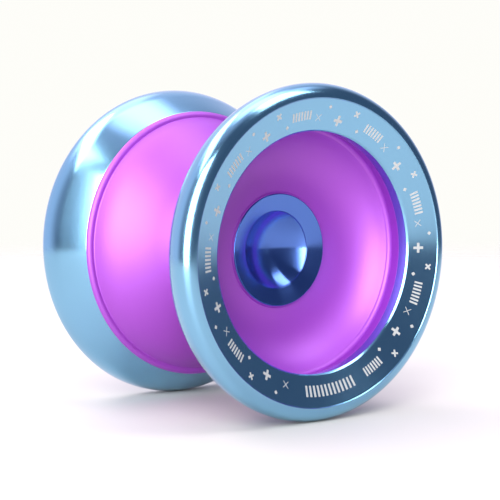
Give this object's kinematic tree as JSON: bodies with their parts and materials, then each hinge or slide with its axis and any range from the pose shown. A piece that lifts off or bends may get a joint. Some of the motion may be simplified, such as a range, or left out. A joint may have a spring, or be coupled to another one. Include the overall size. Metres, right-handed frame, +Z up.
{
  "type": "yo-yo",
  "caption": "Wide bearing yo-yo: two cupped aluminium halves with rim rings and hub caps, screwed together over a ball bearing that carries the string.",
  "frame": {"origin": "the middle of the axle, halfway between the two halves", "axes": "+Y along the axle towards the rear half, +Z up"},
  "size_m": [0.056, 0.0458, 0.056],
  "materials": {
    "satin_purple": "satin anodised",
    "polished_blue": "polished anodised",
    "polished_deep_blue": "polished anodised",
    "white_silicone": "matte",
    "axle_steel": "zinc plated",
    "race_steel": "ground",
    "ball_steel": "polished",
    "cage_steel": "pressed",
    "shield_steel": "pressed"
  },
  "bodies": {
    "rear_side": {"rear_half": "satin_purple", "rear_rim_ring": "polished_blue", "rear_hub_cap": "polished_deep_blue", "rear_response_pad": "white_silicone"},
    "race_inner": {"bearing_inner_race": "race_steel"},
    "front_side": {"front_half": "satin_purple", "front_rim_ring": "polished_blue", "front_hub_cap": "polished_deep_blue", "front_response_pad": "white_silicone", "axle": "axle_steel"},
    "race_outer": {"bearing_outer_race": "race_steel", "front_bearing_shield": "shield_steel", "rear_bearing_shield": "shield_steel", "front_snap_ring": "shield_steel", "rear_snap_ring": "shield_steel"},
    "ball_set": {"bearing_cage": "cage_steel", "ball_01": "ball_steel", "ball_02": "ball_steel", "ball_03": "ball_steel", "ball_04": "ball_steel", "ball_05": "ball_steel", "ball_06": "ball_steel", "ball_07": "ball_steel", "ball_08": "ball_steel", "ball_09": "ball_steel", "ball_10": "ball_steel"}
  },
  "joints": [
    {"name": "bearing_travel", "type": "slide", "parent": "rear_side", "child": "race_inner", "axis": [0, -1, 0], "range_m": [0, 0.0056]},
    {"name": "unscrew", "type": "hinge", "parent": "race_inner", "child": "front_side", "pos_m": [0, 0, 0], "axis": [0, -1, 0], "range_deg": [0, 2880]},
    {"name": "bearing_spin", "type": "hinge", "parent": "race_inner", "child": "race_outer", "pos_m": [0, 0, 0], "axis": [0, 1, 0], "continuous": true},
    {"name": "cage_spin", "type": "hinge", "parent": "race_inner", "child": "ball_set", "pos_m": [0, 0, 0], "axis": [0, 1, 0], "continuous": true}
  ],
  "couplings": [
    {"joint": "bearing_travel", "follows": "unscrew", "m_per_rad": 0.00011141},
    {"joint": "cage_spin", "follows": "bearing_spin", "ratio": 0.58333}
  ]
}
